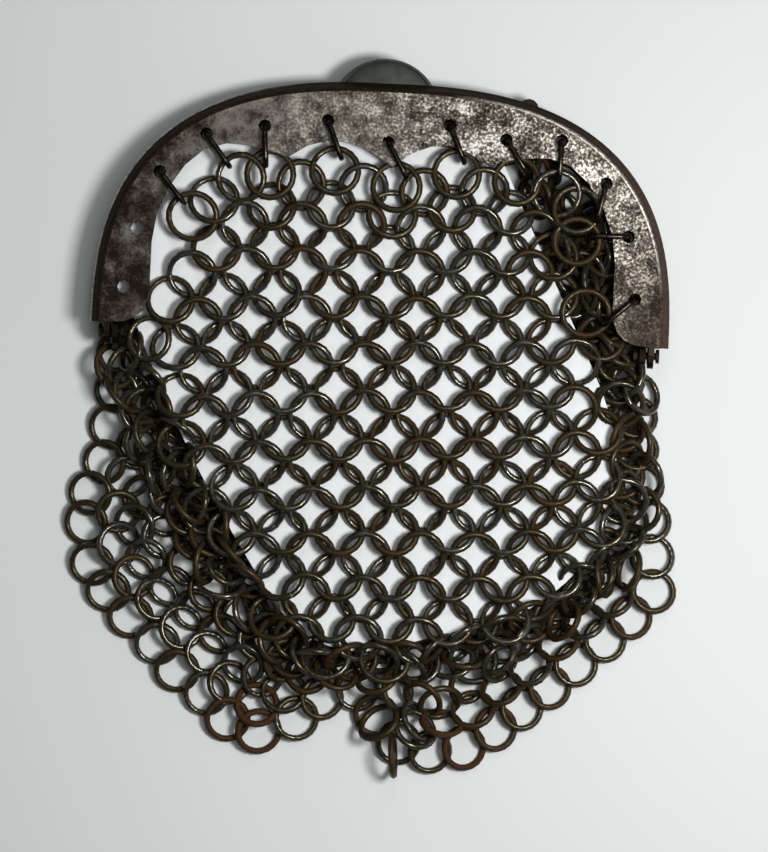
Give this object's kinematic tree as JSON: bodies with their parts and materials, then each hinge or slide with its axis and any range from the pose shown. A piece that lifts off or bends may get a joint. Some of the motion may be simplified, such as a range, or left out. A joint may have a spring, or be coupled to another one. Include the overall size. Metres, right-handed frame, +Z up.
{
  "type": "mail coin purse with card insert",
  "caption": "Small closed purse of linked steel rings on an arched hinged frame with a thumb disc, lying flat with a plain card inside.",
  "frame": {"origin": "under the middle of the whole purse, on the surface it lies on", "axes": "+X to the right seen from the front panel, +Y towards the thumb disc, +Z up out of the front panel"},
  "size_m": [0.074, 0.087, 0.0076],
  "materials": {
    "plate_steel": "worn grey steel sheet, pitted and browned with rust",
    "disc_steel": "dull grey-green steel",
    "ring_wire": "dark gunmetal wire with rust tints",
    "card_white": "matte white paper card"
  },
  "bodies": {
    "root": {"front_frame": "plate_steel", "back_frame": "plate_steel", "hinge_pin_left": "plate_steel", "hinge_pin_right": "plate_steel", "thumb_disc": "disc_steel", "mail_bag": "ring_wire", "insert_card": "card_white", "front_link_01": "ring_wire", "front_link_02": "ring_wire", "front_link_03": "ring_wire", "front_link_04": "ring_wire", "front_link_05": "ring_wire", "front_link_06": "ring_wire", "front_link_07": "ring_wire", "front_link_08": "ring_wire", "front_link_09": "ring_wire", "front_link_10": "ring_wire", "front_link_11": "ring_wire", "back_link_01": "ring_wire", "back_link_02": "ring_wire", "back_link_03": "ring_wire", "back_link_04": "ring_wire", "back_link_05": "ring_wire", "back_link_06": "ring_wire", "back_link_07": "ring_wire", "back_link_08": "ring_wire", "back_link_09": "ring_wire", "back_link_10": "ring_wire", "back_link_11": "ring_wire"}
  },
  "joints": []
}
